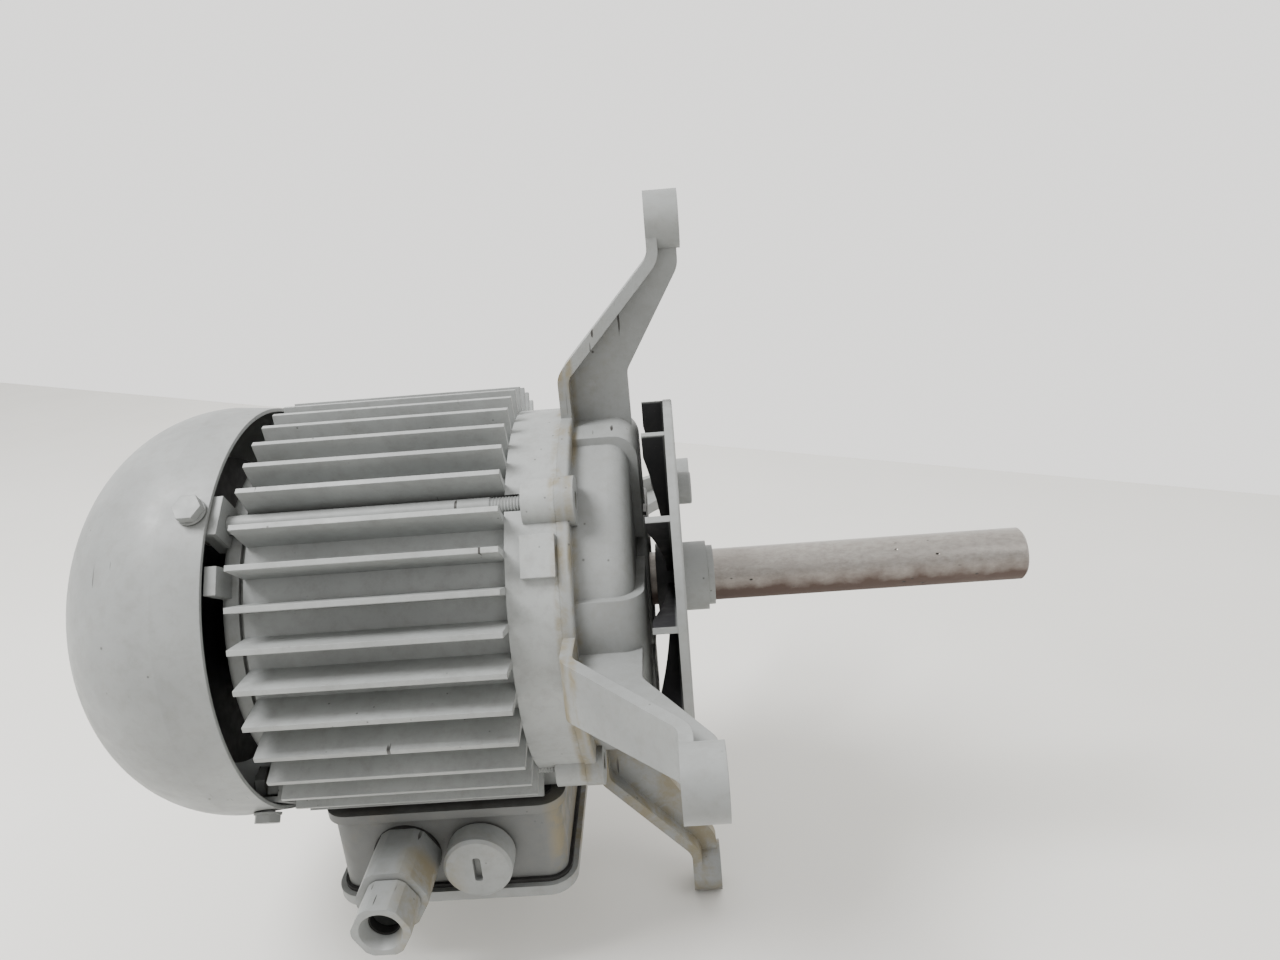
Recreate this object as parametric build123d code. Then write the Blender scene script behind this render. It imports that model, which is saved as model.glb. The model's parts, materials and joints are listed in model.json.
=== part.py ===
"""Foot-less fan-cooled three-phase motor with a four-armed drive-end shield.

Frame: X along the shaft, towards the drive end.  Z up.  The origin is on the
shaft axis, in the plane of the four arm bosses' front faces.  The terminal box
hangs below (-Z) and its cable entries face -Y.  Angles about X run from +Z
towards -Y.  All sizes are millimetres.
"""
import os
from math import cos, radians, sin, tan

from build123d import *

os.makedirs("parts", exist_ok=True)

# ---- shaft ------------------------------------------------------------------
SHAFT_R = 9.5              # 19 mm drive extension
WHEEL_SEAT_R = 9.8         # under the seal, the vaned wheel and its ring
WHEEL_SEAT_END_X = 4.5
SHAFT_SEAT_R = 10.0        # bearing seats, bore 20
SHAFT_CORE_R = 12.5
SHAFT_SHOULDER_R = 11.5
SHAFT_FAN_R = 7.5
SHAFT_TIP_X = 118.0
SHAFT_TAIL_X = -196.0
SHAFT_CHAMFER = 1.0
ROTOR_SEAT_X = (-141.0, -54.0)

# ---- stator housing ---------------------------------------------------------
SEAM_X = -45.0             # drive-end face of the housing
BARREL_BACK_X = -145.5
BARREL_R = 61.5
BARREL_BORE_R = 59.0
COLLAR_R = 66.0
COLLAR_BACK_X = -61.5
FIN_BACK_X = -145.1
FIN_TIP_R = 75.0
FIN_TIP_W = 1.8
FIN_ROOT_W = 3.0
TOP_FINS = 5               # fins each side of the vertical, above and below
TOP_PITCH = 8.0            # degrees
SIDE_FINS = 5              # fins each side of the horizontal
SIDE_PITCH = 9.8
PAD_RAISE = 2.2            # blank raised pad on the collar
PAD_ANGLE = 57.0
PAD_W = 13.5
PAD_BACK_X = -56.4
PAD_FRONT_X = -45.6

# ---- tie bolts --------------------------------------------------------------
TIE_CIRCLE_R = 64.5
TIE_ANGLES = (41.0, 139.0, 221.0, 319.0)
TIE_R = 3.0
TIE_THREAD_R = 2.9
TIE_THREAD_X = -66.0
TIE_TIP_X = -41.0
TIE_PITCH = 1.0
TIE_CLEAR_R = 3.3
LUG_R = 7.8
LUG_BACK_X = -55.5

# ---- drive-end shield -------------------------------------------------------
RIM_R = 66.5
RIM_FRONT_X = -41.0
DRUM_R = 60.5
DRUM_FRONT_X = -22.5
DRUM_WALL = 4.0
DRUM_EDGE_R = 7.0
RIDGE_R = 63.0
RIDGE_FRONT_X = -19.5
RIDGE_HALF_W = 18.5
RIDGE_INNER_R = 30.0
EAR_R = 8.0
EAR_FRONT_X = -39.0
SPIGOT = 4.0
SPIGOT_GAP = 0.05
SHIELD_INNER_R = 56.0
BEARING_POCKET_X = -43.5   # back edge of the drive-end bearing housing
SEAL_BOSS_R = 24.0
SEAL_BOSS_FRONT_X = -18.6
SEAL_POCKET_R = 15.0
SEAL_POCKET_X = -24.8
SHAFT_PASS_R = 12.0

# ---- arms -------------------------------------------------------------------
ARM_TURN = -2.5            # the arms stand this far off square with the terminal box
ARM_ANGLES = [ARM_TURN + 90 * i for i in range(4)]
BOSS_CIRCLE_R = 129.0      # bolt circle 258
BOSS_R = 9.7
BOSS_DEPTH = 11.3
BOSS_HOLE_R = 4.5
ARM_KNEE_R = 80.5          # where the arm leaves the radial direction
ARM_ANKLE_R = 117.5        # where it turns radial again
ARM_PLATE = 3.8
ARM_ROOT_W = 19.5
ARM_END_W = 16.0
ARM_WEB = 4.6
ARM_FOOT_R = 58.0
ARM_PLATE_DROP = 1.6       # front side of the plate bends this much lower
WEB_FOOT_X = -21.2
WEB_TOP_X = -1.2
WEB_KNEE_R = 79.5
WEB_ANKLE_R = 113.5

# ---- bearings, 6204 ---------------------------------------------------------
BEARING_BORE_R = 10.0
BEARING_OUT_R = 23.5
BEARING_W = 14.0
BEARING_PITCH_R = 16.75
BALL_R = 3.969
BALL_COUNT = 8
RACE_GAP = 0.03
INNER_LAND_R = 14.2
OUTER_LAND_R = 19.6
CAGE_IN_R = 15.9
CAGE_OUT_R = 17.6
CAGE_W = 9.6
DE_BEARING_X = -42.0       # back face of each bearing
NDE_BEARING_X = -165.0
HUB_R = 29.0

# ---- rotor and stator pack --------------------------------------------------
CORE_BACK_X = -130.0
CORE_FRONT_X = -65.0
ROTOR_R = 34.7
STATOR_BORE_R = 35.0
ROTOR_BARS = 20
ROTOR_BAR_R = 2.2
ROTOR_BAR_CIRCLE_R = 30.5
END_RING_W = 8.0
END_RING_IN_R = 22.0
STATOR_SLOTS = 24
SLOT_W = 4.4
SLOT_MOUTH_W = 2.0
SLOT_IN_R = 36.5
SLOT_OUT_R = 50.0
WINDING_IN_R = 37.5
WINDING_OUT_R = 53.0
WINDING_OVERHANG = 15.0

# ---- rear shield, fan and cowl ----------------------------------------------
REAR_FRONT_X = -145.5
REAR_WALL_BACK_X = -153.0
REAR_WALL = 4.0
REAR_HUB_BACK_X = -168.0
REAR_SKIRT_R = 61.2
REAR_GROOVE = (1.5, 59.6)  # width and floor radius of the groove behind the barrel
REAR_INNER_R = 55.5
REAR_PASS_R = 11.0
EAR_BACK_X = -156.0
EAR_FRONT_FACE_X = -152.1
EAR_HALF_W = 6.0
EAR_SPAN_R = (57.0, 69.4)
STOP_LUG_L = 3.8
STOP_LUG_HALF_W = 4.5
STOP_LUG_R = 71.5
STOP_LUG_ANGLES = (58.0, 238.0)
COWL_RIM_X = -153.0
COWL_RIM_R = 74.0
COWL_R = 75.3
COWL_CORNER_R = 48.0
COWL_BACK_X = -215.8
COWL_CROWN = 3.0
COWL_T = 1.3
INLET_HOLE_R = 3.4
INLET_RINGS = ((0.0, 1), (9.5, 6), (19.0, 12), (28.5, 18), (38.0, 24))
COWL_SCREW_X = -157.8
COWL_SCREW_SEAT_R = 74.9
COWL_SCREW_L = 4.3
BRACKET_W = 13.5
BRACKET_T = 1.8
BRACKET_LEG_R = 72.0
BRACKET_X = -152.0         # seat of the upright leg
BRACKET_LEG_X = -165.0
FAN_R = 57.0
FAN_HUB_R = 14.0
FAN_FRONT_X = -174.0
FAN_BACK_X = -199.0
FAN_BLADES = 7
FAN_PLATE = 2.5
FAN_HUB_SET = 5.0          # hub face in front of the blades' back edges
FAN_CLIP_R = 10.6
FAN_CLIP_T = 1.2

# ---- drive-end vaned wheel --------------------------------------------------
WHEEL_R = 66.3
WHEEL_FRONT_X = -6.5
WHEEL_BACK_X = -17.5
WHEEL_PLATE = 3.2
WHEEL_VANES = 12
WHEEL_FIRST_VANE = 19.0
WHEEL_VANE_T = 2.0
WHEEL_VANE_ARCH = ((-17.5, 57.3), (-14.1, 38.0), (-12.5, 11.75))  # back edge of a vane, (x, r)
WHEEL_HUB_BACK_X = -16.5
WHEEL_HUB_R = 12.75
WHEEL_HUB_FRONT_X = 2.1
WHEEL_RING_R = 11.0
WHEEL_RING_W = 2.4
WHEEL_PEG_CIRCLE_R = 35.0
WHEEL_PEG_R = 5.8
WHEEL_PEG_L = 4.8

# ---- terminal box -----------------------------------------------------------
BOX_BACK_X = -139.5
BOX_FRONT_X = -57.0
BOX_HALF_W = 44.0
BOX_CORNER_R = 7.0
BOX_WALL = 3.2
SEAT_Z = -62.0
SEAT_HALF_W = 36.0
SEAT_FRONT_X = -53.5
SEAT_GASKET = 0.8
FLANGE_T = 3.5
FLANGE_LIP = 2.2
BOX_FLOOR_Z = SEAT_Z - SEAT_GASKET - FLANGE_T - 0.5
BOX_RIM_Z = -95.5
LID_GASKET = 1.5
LID_LIP = 3.4
LID_T = 5.5
LID_PANEL = 1.6
WINDOW_X = (-112.0, -86.0)
WINDOW_HALF_W = 13.0
BOX_SCREW_INSET = 6.5
BASE_SCREW_X = (-124.0, -72.5)
BASE_SCREW_Y = 26.0
GLAND_X = -113.5
PLUG_X = -86.3
ENTRY_Z = -81.75
ENTRY_R = 10.0
BOARD_X = (-118.0, -70.0)
BOARD_HALF_W = 14.0
BOARD_TOP_Z = -70.5
BOARD_T = 6.0
STUD_R = 2.0
STUD_PITCH = 14.0
STUD_ROW_Y = 7.5
STUD_TIP_Z = -91.0
EARTH_SCREW_X = -65.1

# ---- cable gland and blanking plug ------------------------------------------
SEAL_T = 1.2
GLAND_BODY_AF = 23.2
GLAND_BODY_END_Y = -67.0
GLAND_NUT_AF = 18.6
GLAND_NUT_END_Y = -80.8
GLAND_THREAD_R = 8.6
GLAND_BORE_R = 6.6
CABLE_R = 5.0
GLAND_MOUTH_R = 7.3
GLAND_MOUTH_L = 4.5
GLAND_THREAD_L = 5.5
GLAND_SEAL_L = 3.4
HEX_ROUNDING = 0.535        # radius of the turned-down corners, in widths across flats
ENTRY_L = 8.0              # threads reach this far inside the wall
PLUG_CORE_R = 7.5
PLUG_HEAD_R = 12.2
PLUG_HEAD_H = 9.4
PLUG_SLOT = (2.8, 9.8, 2.6)   # width, length, depth


# ---- shape helpers ----------------------------------------------------------
def disc(x0, x1, radius, hole=0.0):
    """Cylinder or tube about the shaft axis, from x0 to x1."""
    face = Circle(radius) - Circle(hole) if hole else Circle(radius)
    return extrude(Plane.YZ.offset(x0) * face, amount=x1 - x0)


def outline(corners):
    """Closed face through (x, y, corner radius) points, of lines and arcs."""
    marks = []
    for i, (x, y, radius) in enumerate(corners):
        point = Vector(x, y)
        back = (Vector(*corners[i - 1][:2]) - point).normalized()
        ahead = (Vector(*corners[(i + 1) % len(corners)][:2]) - point).normalized()
        half = radians(back.get_angle(ahead)) / 2
        enter = point + back * (radius / tan(half))
        leave = point + ahead * (radius / tan(half))
        middle = point + (back + ahead).normalized() * (radius / sin(half) - radius)
        marks.append((enter, middle, leave, radius))
    edges = []
    for i, (enter, middle, leave, radius) in enumerate(marks):
        if radius:
            edges.append(ThreePointArc(enter, middle, leave))
        edges.append(Line(leave, marks[(i + 1) % len(marks)][0]))
    return make_face(edges)


def turned(corners):
    """Solid of revolution about the shaft axis from (x, radius, fillet) points."""
    return revolve(outline(corners), Axis.X)


def block(x0, x1, y0, y1, z0, z1):
    centre = Pos((x0 + x1) / 2, (y0 + y1) / 2, (z0 + z1) / 2)
    return centre * Box(x1 - x0, y1 - y0, z1 - z0)


def slab(grow, z_top, z_bottom, corner=BOX_CORNER_R):
    """Rounded-corner plate with the terminal box's plan, grown on every side."""
    plan = RectangleRounded(
        BOX_FRONT_X - BOX_BACK_X + 2 * grow, 2 * (BOX_HALF_W + grow), max(corner + grow, 1.5)
    )
    centre = Pos((BOX_FRONT_X + BOX_BACK_X) / 2, 0, z_bottom)
    return centre * extrude(plan, z_top - z_bottom)


def post(x, y, z0, z1, radius, hole=0.0):
    """Vertical round post or tube from z0 up to z1."""
    face = Circle(radius) - Circle(hole) if hole else Circle(radius)
    return Pos(x, y, z0) * extrude(face, z1 - z0)


def entry(x, y_in, y_out, face):
    """Extrude a face along -Y, from y_in out to y_out, at a cable entry."""
    plane = Plane(origin=(x, y_in, ENTRY_Z), x_dir=(1, 0, 0), z_dir=(0, -1, 0))
    return extrude(plane * face, amount=y_in - y_out)


def turn(angle, shape):
    """Turn a shape about the shaft axis, from +Z towards -Y."""
    return Rot(angle, 0, 0) * shape


def fuse(shapes):
    first, *others = shapes
    return first + others if others else first


def group(shapes):
    """Identical separate pieces kept as one compound."""
    return Compound(children=[Solid(s.solid().wrapped) for s in shapes])


def hexagon(across_flats):
    return RegularPolygon(across_flats / 2, 6, major_radius=False)


def screw(shank_r, length, head, head_h):
    """Screw whose head stands on z = 0 and whose shank runs down to -length."""
    return extrude(head, head_h) + Pos(0, 0, -length) * extrude(Circle(shank_r), length)


def threaded(x0, x1, radius, pitch, depth=0.35):
    """Ridged rod along X: a vee groove per pitch stands for the thread."""
    corners = [(x0, 0), (x0, radius)]
    for i in range(int((x1 - x0) / pitch)):
        corners.append((x0 + (i + 0.5) * pitch, radius - depth))
        corners.append((x0 + (i + 1) * pitch, radius))
    corners.append((x1, radius - depth))
    corners.append((x1, 0))
    return revolve(make_face(Polyline(*corners, close=True)), Axis.X)


# ---- stator housing ---------------------------------------------------------
def fin_angles():
    """Fins in four groups, leaving a wider gap at each tie bolt."""
    angles = []
    for side in (-1, 1):
        for i in range(TOP_FINS):
            angles.append(side * (i + 0.5) * TOP_PITCH)
        for i in range(SIDE_FINS):
            angles.append(90 + side * (i + 0.5) * SIDE_PITCH)
            angles.append(270 + side * (i + 0.5) * SIDE_PITCH)
        angles.append(180 + side * (TOP_FINS - 0.5) * TOP_PITCH)
    return angles


def stator_frame():
    fin = make_face(Polyline(
        (-FIN_ROOT_W / 2, BARREL_BORE_R + 1),
        (-FIN_TIP_W / 2, FIN_TIP_R),
        (FIN_TIP_W / 2, FIN_TIP_R),
        (FIN_ROOT_W / 2, BARREL_BORE_R + 1),
        close=True,
    ))
    section = Circle(BARREL_R) + [Rot(0, 0, a) * fin for a in fin_angles()]
    body = extrude(Plane.YZ.offset(FIN_BACK_X) * section, amount=COLLAR_BACK_X - FIN_BACK_X)
    body += disc(BARREL_BACK_X, SEAM_X, BARREL_R)
    body += turned([
        (COLLAR_BACK_X, 0, 0), (COLLAR_BACK_X, COLLAR_R, 0),
        (SEAM_X, COLLAR_R, 0), (SEAM_X, 0, 0),
    ])
    lug = Pos(0, 0, TIE_CIRCLE_R) * disc(LUG_BACK_X, SEAM_X, LUG_R)
    body += [turn(a, lug) for a in TIE_ANGLES]
    pad_top = COLLAR_R + PAD_RAISE
    pad = block(PAD_BACK_X, PAD_FRONT_X, -PAD_W / 2, PAD_W / 2, COLLAR_R - 5, pad_top)
    body += [turn(a, pad) for a in (PAD_ANGLE, -PAD_ANGLE)]
    body += block(BOX_BACK_X, BOX_FRONT_X, -SEAT_HALF_W, SEAT_HALF_W, SEAT_Z, -40)
    body -= disc(BARREL_BACK_X, SEAM_X, BARREL_BORE_R)
    hole = Pos(0, 0, TIE_CIRCLE_R) * disc(COLLAR_BACK_X - 1, SEAM_X + 1, TIE_CLEAR_R)
    body -= [turn(a, hole) for a in TIE_ANGLES]
    body -= block(BOX_BACK_X - 1, SEAT_FRONT_X, -BOX_HALF_W, BOX_HALF_W, -80, SEAT_Z)
    body -= block(*WINDOW_X, -WINDOW_HALF_W, WINDOW_HALF_W, SEAT_Z - 1, -50)
    return body - [post(x, y, SEAT_Z - 1, SEAT_Z + 7.5, 2.1) for x, y in base_screw_places()]


# ---- drive-end shield -------------------------------------------------------
def shield_shell():
    """Cup with the bearing housing inside and the seal boss in front."""
    bearing_front_x = DE_BEARING_X + BEARING_W
    wall_back_x = DRUM_FRONT_X - DRUM_WALL
    spigot_r = BARREL_BORE_R - SPIGOT_GAP
    return turned([
        (SEAM_X, RIM_R, 0), (RIM_FRONT_X, RIM_R, 1.0), (RIM_FRONT_X, DRUM_R, 0),
        (DRUM_FRONT_X, DRUM_R, DRUM_EDGE_R), (DRUM_FRONT_X, SEAL_BOSS_R, 0),
        (SEAL_BOSS_FRONT_X, SEAL_BOSS_R, 1.5), (SEAL_BOSS_FRONT_X, SEAL_POCKET_R, 0),
        (SEAL_POCKET_X, SEAL_POCKET_R, 0), (SEAL_POCKET_X, SHAFT_PASS_R, 0),
        (bearing_front_x, SHAFT_PASS_R, 0), (bearing_front_x, BEARING_OUT_R, 0),
        (BEARING_POCKET_X, BEARING_OUT_R, 0), (BEARING_POCKET_X, HUB_R, 1.5),
        (wall_back_x, HUB_R, 0), (wall_back_x, SHIELD_INNER_R, 4.0),
        (SEAM_X - SPIGOT, SHIELD_INNER_R, 0),
        (SEAM_X - SPIGOT, spigot_r, 0), (SEAM_X, spigot_r, 0),
    ])


def arm_ridge():
    """Raised band that runs over the drum's edge and carries one arm."""
    band = turned([
        (RIM_FRONT_X - 1, RIDGE_R, 0), (RIDGE_FRONT_X, RIDGE_R, 8.0),
        (RIDGE_FRONT_X, RIDGE_INNER_R, 0), (DRUM_FRONT_X - 2, RIDGE_INNER_R, 0),
        (DRUM_FRONT_X - 2, DRUM_R - 3, 0), (RIM_FRONT_X - 1, DRUM_R - 3, 0),
    ])
    return band & block(-60, 0, -RIDGE_HALF_W, RIDGE_HALF_W, 20, 80)


def arm():
    """T-section arm pointing up: a rear plate, a central web and an end boss."""
    back = SEAM_X
    boss_back = -BOSS_DEPTH
    rise = (ARM_ANKLE_R - ARM_KNEE_R) / (boss_back - back)
    plate = outline([
        (back, ARM_FOOT_R + 6, 0), (back, ARM_KNEE_R, 8), (boss_back, ARM_ANKLE_R, 7),
        (boss_back, BOSS_CIRCLE_R, 0), (boss_back + ARM_PLATE, BOSS_CIRCLE_R, 0),
        (boss_back + ARM_PLATE, ARM_ANKLE_R - ARM_PLATE_DROP, 10),
        (back + ARM_PLATE, ARM_KNEE_R - ARM_PLATE_DROP, 5), (back + ARM_PLATE, ARM_FOOT_R + 6, 0),
    ])
    web = outline([
        (back + 2, ARM_FOOT_R, 0), (back + 2, ARM_KNEE_R, 0),
        (boss_back + 2, ARM_KNEE_R + rise * (boss_back - back), 0),
        (boss_back + 2, BOSS_CIRCLE_R - 5, 0), (WEB_TOP_X, BOSS_CIRCLE_R - 5, 0),
        (WEB_TOP_X, WEB_ANKLE_R, 9), (WEB_FOOT_X, WEB_KNEE_R, 7), (WEB_FOOT_X, ARM_FOOT_R, 0),
    ])
    taper = make_face(Polyline(
        (-ARM_ROOT_W / 2, ARM_FOOT_R), (-ARM_ROOT_W / 2, ARM_KNEE_R),
        (-ARM_END_W / 2, ARM_ANKLE_R), (-ARM_END_W / 2, BOSS_CIRCLE_R),
        (ARM_END_W / 2, BOSS_CIRCLE_R), (ARM_END_W / 2, ARM_ANKLE_R),
        (ARM_ROOT_W / 2, ARM_KNEE_R), (ARM_ROOT_W / 2, ARM_FOOT_R), close=True,
    ))
    upright = Rot(90, 0, 0)
    plate_part = extrude(upright * plate, ARM_ROOT_W / 2, both=True)
    plate_part &= extrude(Plane.YZ.offset(SEAM_X - 1) * taper, 60)
    web_part = extrude(upright * web, ARM_WEB / 2, both=True)
    boss = Pos(0, 0, BOSS_CIRCLE_R) * disc(-BOSS_DEPTH, 0, BOSS_R)
    return plate_part + web_part + boss


def drive_end_shield():
    body = shield_shell()
    body += [turn(a, arm_ridge()) for a in ARM_ANGLES]
    ear = Pos(0, 0, TIE_CIRCLE_R) * disc(SEAM_X, EAR_FRONT_X, EAR_R)
    ear -= disc(SEAM_X - 1, EAR_FRONT_X + 1, DRUM_R - 1)
    body += [turn(a, ear) for a in TIE_ANGLES]
    body += [turn(a, arm()) for a in ARM_ANGLES]
    hole = Pos(0, 0, TIE_CIRCLE_R) * disc(SEAM_X - 1, EAR_FRONT_X + 1, TIE_CLEAR_R - 0.3)
    body -= [turn(a, hole) for a in TIE_ANGLES]
    bolt_hole = Pos(0, 0, BOSS_CIRCLE_R) * disc(-BOSS_DEPTH - 1, 1, BOSS_HOLE_R)
    return body - [turn(a, bolt_hole) for a in ARM_ANGLES]


# ---- tie bolts and rear end -------------------------------------------------
def tie_bolts():
    head = Plane.YZ.offset(EAR_BACK_X - SEAL_T - 4.0) * hexagon(10)
    bolt = extrude(head, 4.0) + disc(EAR_BACK_X - SEAL_T, TIE_THREAD_X, TIE_R)
    bolt += threaded(TIE_THREAD_X, TIE_TIP_X, TIE_THREAD_R, TIE_PITCH)
    return group([turn(a, Pos(0, 0, TIE_CIRCLE_R) * bolt) for a in TIE_ANGLES])


def tie_bolt_washers():
    washer = disc(EAR_BACK_X - SEAL_T, EAR_BACK_X, 6.0, TIE_R + 0.2)
    return group([turn(a, Pos(0, 0, TIE_CIRCLE_R) * washer) for a in TIE_ANGLES])


def rear_end_shield():
    """Dished cover with the rear bearing housing, tie-bolt ears and two stop lugs."""
    wall_front_x = REAR_WALL_BACK_X + REAR_WALL
    spigot_r = BARREL_BORE_R - SPIGOT_GAP
    groove_w, groove_r = REAR_GROOVE
    shell = turned([
        (REAR_FRONT_X + SPIGOT, spigot_r, 0), (REAR_FRONT_X, spigot_r, 0),
        (REAR_FRONT_X, groove_r, 0), (REAR_FRONT_X - groove_w, groove_r, 0),
        (REAR_FRONT_X - groove_w, REAR_SKIRT_R, 0), (REAR_WALL_BACK_X, REAR_SKIRT_R, 2.5),
        (REAR_WALL_BACK_X, HUB_R, 0), (REAR_HUB_BACK_X, HUB_R, 2.5),
        (REAR_HUB_BACK_X, REAR_PASS_R, 0), (NDE_BEARING_X, REAR_PASS_R, 0),
        (NDE_BEARING_X, BEARING_OUT_R, 0),
        (wall_front_x + 2.5, BEARING_OUT_R, 0), (wall_front_x + 2.5, HUB_R, 1.5),
        (wall_front_x, HUB_R, 0), (wall_front_x, REAR_INNER_R, 3.0),
        (REAR_FRONT_X + SPIGOT, REAR_INNER_R, 0),
    ])
    ear = block(EAR_BACK_X, EAR_FRONT_FACE_X, -EAR_HALF_W, EAR_HALF_W, *EAR_SPAN_R)
    shell += [turn(a, ear) for a in TIE_ANGLES]
    lug_x = (REAR_WALL_BACK_X, REAR_WALL_BACK_X + STOP_LUG_L)
    lug = block(*lug_x, -STOP_LUG_HALF_W, STOP_LUG_HALF_W, BARREL_R - 3, STOP_LUG_R)
    shell += [turn(a, lug) for a in STOP_LUG_ANGLES]
    hole = Pos(0, 0, TIE_CIRCLE_R) * disc(EAR_BACK_X - 1, -140, TIE_CLEAR_R)
    return shell - [turn(a, hole) for a in TIE_ANGLES]


def cowl_brackets():
    """Angle plates under the tie bolts: one leg upright, one under the cowl."""
    half_w = BRACKET_W / 2
    leg_under_r = BRACKET_LEG_R - BRACKET_T
    front_x = BRACKET_X + BRACKET_T
    bracket = block(BRACKET_X, front_x, -half_w, half_w, BARREL_R + 0.3, BRACKET_LEG_R)
    bracket += block(BRACKET_LEG_X, BRACKET_X, -half_w, half_w, leg_under_r, BRACKET_LEG_R)
    bracket -= Pos(0, 0, TIE_CIRCLE_R) * disc(BRACKET_X - 1, front_x + 1, TIE_R + 0.2)
    bracket -= post(COWL_SCREW_X, 0, BRACKET_LEG_R - 3, BRACKET_LEG_R + 1, 2.5)
    return group([turn(a, bracket) for a in TIE_ANGLES])


def cowl_profile(grow):
    """Half section of the cowl's outer skin, moved inwards by grow."""
    corner_r = COWL_CORNER_R - grow
    centre_x = COWL_BACK_X + COWL_CORNER_R
    centre_r = COWL_R - COWL_CORNER_R
    back_x = COWL_BACK_X + grow
    half = radians(45)
    top = (centre_x, COWL_R - grow)
    middle = (centre_x - corner_r * sin(half), centre_r + corner_r * cos(half))
    side = (back_x, centre_r)
    crown = (back_x - COWL_CROWN, 0)
    rim = (COWL_RIM_X, COWL_RIM_R - grow)
    bulge = (back_x - 0.75 * COWL_CROWN, centre_r / 2)
    return [rim, top, middle, side, bulge, crown]


def fan_cowl():
    out = cowl_profile(0)
    inn = cowl_profile(COWL_T)
    skin = [
        Line(out[0], out[1]), ThreePointArc(out[1], out[2], out[3]),
        ThreePointArc(out[3], out[4], out[5]), Line(out[5], inn[5]),
        ThreePointArc(inn[5], inn[4], inn[3]), ThreePointArc(inn[3], inn[2], inn[1]),
        Line(inn[1], inn[0]), Line(inn[0], out[0]),
    ]
    cowl = revolve(make_face(skin), Axis.X)
    holes = []
    for ring_r, count in INLET_RINGS:
        drill = Pos(0, 0, ring_r) * disc(-230, -200, INLET_HOLE_R)
        holes += [turn(360 * i / count, drill) for i in range(count)]
    screw_hole = post(COWL_SCREW_X, 0, 60, 90, 2.75)
    holes += [turn(a, screw_hole) for a in TIE_ANGLES]
    return cowl - holes


def cowl_screws():
    piece = screw(2.4, COWL_SCREW_L, hexagon(8), 3.6)
    piece += extrude(Circle(4.7), 0.9)
    lift = Pos(COWL_SCREW_X, 0, COWL_SCREW_SEAT_R)
    return group([turn(a, lift * piece) for a in TIE_ANGLES])


# ---- bearings ---------------------------------------------------------------
def race(x, inner):
    """One bearing ring with its ball groove."""
    middle_x = x + BEARING_W / 2
    if inner:
        ring = disc(x, x + BEARING_W, INNER_LAND_R, BEARING_BORE_R)
    else:
        ring = disc(x, x + BEARING_W, BEARING_OUT_R, OUTER_LAND_R)
    groove = revolve(
        Pos(middle_x, BEARING_PITCH_R) * Circle(BALL_R + RACE_GAP), Axis.X
    )
    return ring - groove


def balls(x):
    ball = Pos(x + BEARING_W / 2, 0, BEARING_PITCH_R) * Sphere(BALL_R)
    return group([turn(360 * i / BALL_COUNT, ball) for i in range(BALL_COUNT)])


def cage(x):
    middle_x = x + BEARING_W / 2
    band = disc(middle_x - CAGE_W / 2, middle_x + CAGE_W / 2, CAGE_OUT_R, CAGE_IN_R)
    pocket = Pos(middle_x, 0, BEARING_PITCH_R) * Sphere(BALL_R + 0.15)
    return band - [turn(360 * i / BALL_COUNT, pocket) for i in range(BALL_COUNT)]


def wave_washer():
    """Preload washer between the rear bearing and its housing lip."""
    return disc(NDE_BEARING_X + BEARING_W, NDE_BEARING_X + BEARING_W + 1.2, 23.2, 19.8)


def shaft_seal():
    return disc(SEAL_POCKET_X + 0.1, SEAL_BOSS_FRONT_X - 0.4, SEAL_POCKET_R - 0.02, WHEEL_SEAT_R + 0.06)


# ---- rotor ------------------------------------------------------------------
def shaft():
    de_front = DE_BEARING_X + BEARING_W
    nde_back = NDE_BEARING_X
    nde_front = NDE_BEARING_X + BEARING_W
    seat_back, seat_front = ROTOR_SEAT_X
    c = SHAFT_CHAMFER
    corners = [
        (SHAFT_TAIL_X, 0), (SHAFT_TAIL_X, SHAFT_FAN_R - c), (SHAFT_TAIL_X + c, SHAFT_FAN_R),
        (nde_back - 1.5, SHAFT_FAN_R), (nde_back - 1.5, SHAFT_SEAT_R),
        (nde_front, SHAFT_SEAT_R), (nde_front, SHAFT_SHOULDER_R), (seat_back, SHAFT_SHOULDER_R),
        (seat_back, SHAFT_CORE_R), (seat_front, SHAFT_CORE_R), (seat_front, SHAFT_SHOULDER_R),
        (DE_BEARING_X, SHAFT_SHOULDER_R), (DE_BEARING_X, SHAFT_SEAT_R),
        (de_front, SHAFT_SEAT_R), (de_front, WHEEL_SEAT_R), (WHEEL_SEAT_END_X, WHEEL_SEAT_R),
        (WHEEL_SEAT_END_X, SHAFT_R), (SHAFT_TIP_X - c, SHAFT_R),
        (SHAFT_TIP_X, SHAFT_R - c), (SHAFT_TIP_X, 0),
    ]
    return revolve(make_face(Polyline(*corners, close=True)), Axis.X)


def rotor_core():
    core = disc(CORE_BACK_X, CORE_FRONT_X, ROTOR_R, SHAFT_CORE_R)
    slot = Pos(0, 0, ROTOR_BAR_CIRCLE_R) * disc(CORE_BACK_X, CORE_FRONT_X, ROTOR_BAR_R)
    return core - [turn(360 * i / ROTOR_BARS, slot) for i in range(ROTOR_BARS)]


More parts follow.
